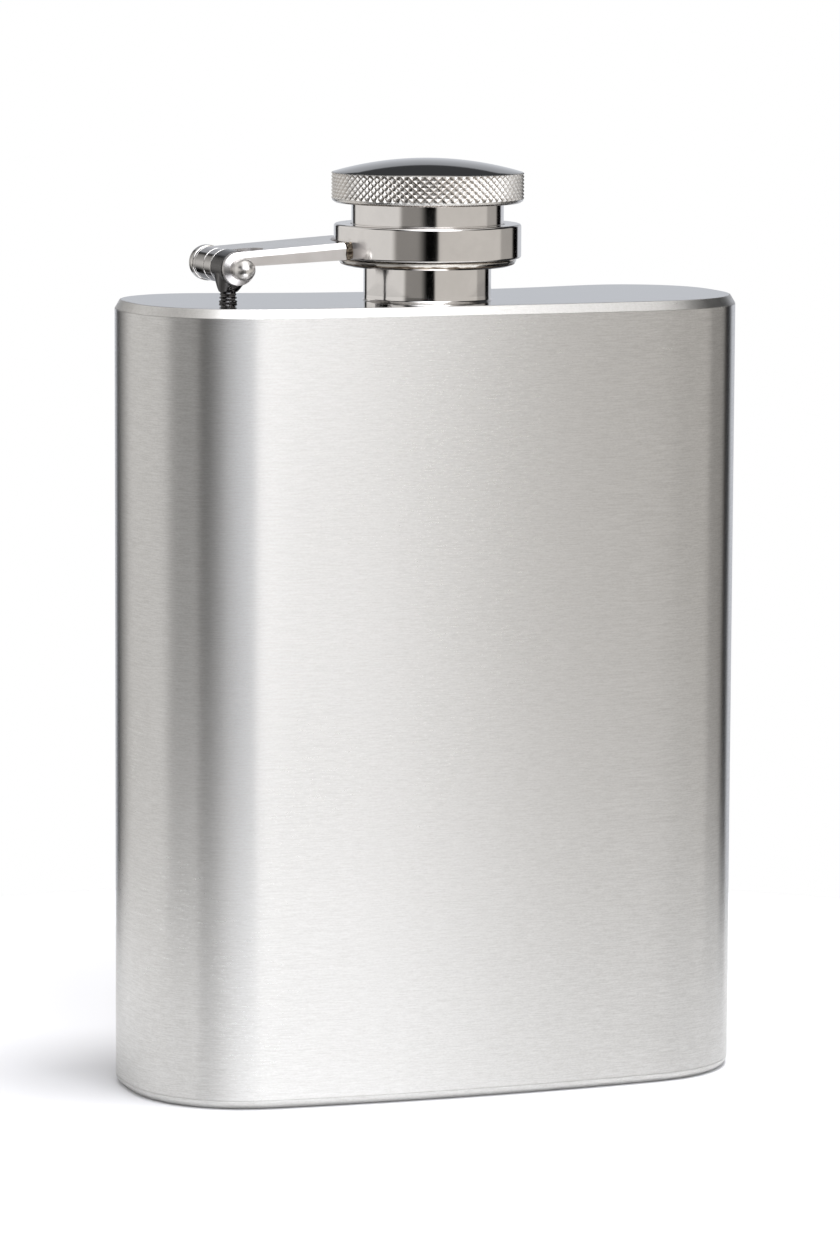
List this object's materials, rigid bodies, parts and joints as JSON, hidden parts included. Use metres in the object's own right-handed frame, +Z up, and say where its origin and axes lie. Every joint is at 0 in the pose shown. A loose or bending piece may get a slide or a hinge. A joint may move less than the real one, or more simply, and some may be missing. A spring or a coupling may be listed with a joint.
{
  "type": "hip flask",
  "caption": "Small curved steel pocket flask with a knurled screw cap held captive by a hinged arm on its top plate",
  "frame": {"origin": "middle of the bounding box seen from above, on the surface the flask stands on", "axes": "+Z up through the neck, -Y out of the convex front, +X away from the hinge, which is on the -X side of the neck"},
  "size_m": [0.07, 0.028, 0.1023],
  "materials": {
    "satin_steel": "fine horizontal brushing, satin",
    "bright_steel": "bright, close to mirror",
    "polished_steel": "polished",
    "dark_steel": "darkened by heat, glossy",
    "braze": "rough brown braze metal",
    "silicone": "soft, matt"
  },
  "bodies": {
    "flask": {"body_shell": "satin_steel", "bottom_plate": "satin_steel", "top_plate": "bright_steel", "neck_tube": "polished_steel", "hinge_post": "dark_steel"},
    "arm": {"hinge_arm": "bright_steel", "hinge_pin": "polished_steel", "pin_end_washer": "bright_steel", "braze_joint": "braze", "collar": "polished_steel", "collar_retainer": "polished_steel"},
    "seal": {"cap_gasket": "silicone"},
    "cap": {"cap_sleeve": "polished_steel", "cap_head": "bright_steel"}
  },
  "joints": [
    {"name": "arm_swing", "type": "hinge", "parent": "flask", "child": "arm", "pos_m": [-0.0241, -0.0025, 0.09075], "axis": [0, -1, 0], "range_deg": [0, 180]},
    {"name": "cap_lift", "type": "slide", "parent": "arm", "child": "seal", "axis": [0, 0, 1], "range_m": [0, 0.0021]},
    {"name": "cap_turn", "type": "hinge", "parent": "seal", "child": "cap", "pos_m": [-0.0017, -0.0026, 0.095], "axis": [0, 0, 1], "range_deg": [0, 720]}
  ],
  "couplings": [
    {"joint": "cap_lift", "follows": "cap_turn", "m_per_rad": 0.00015915}
  ]
}
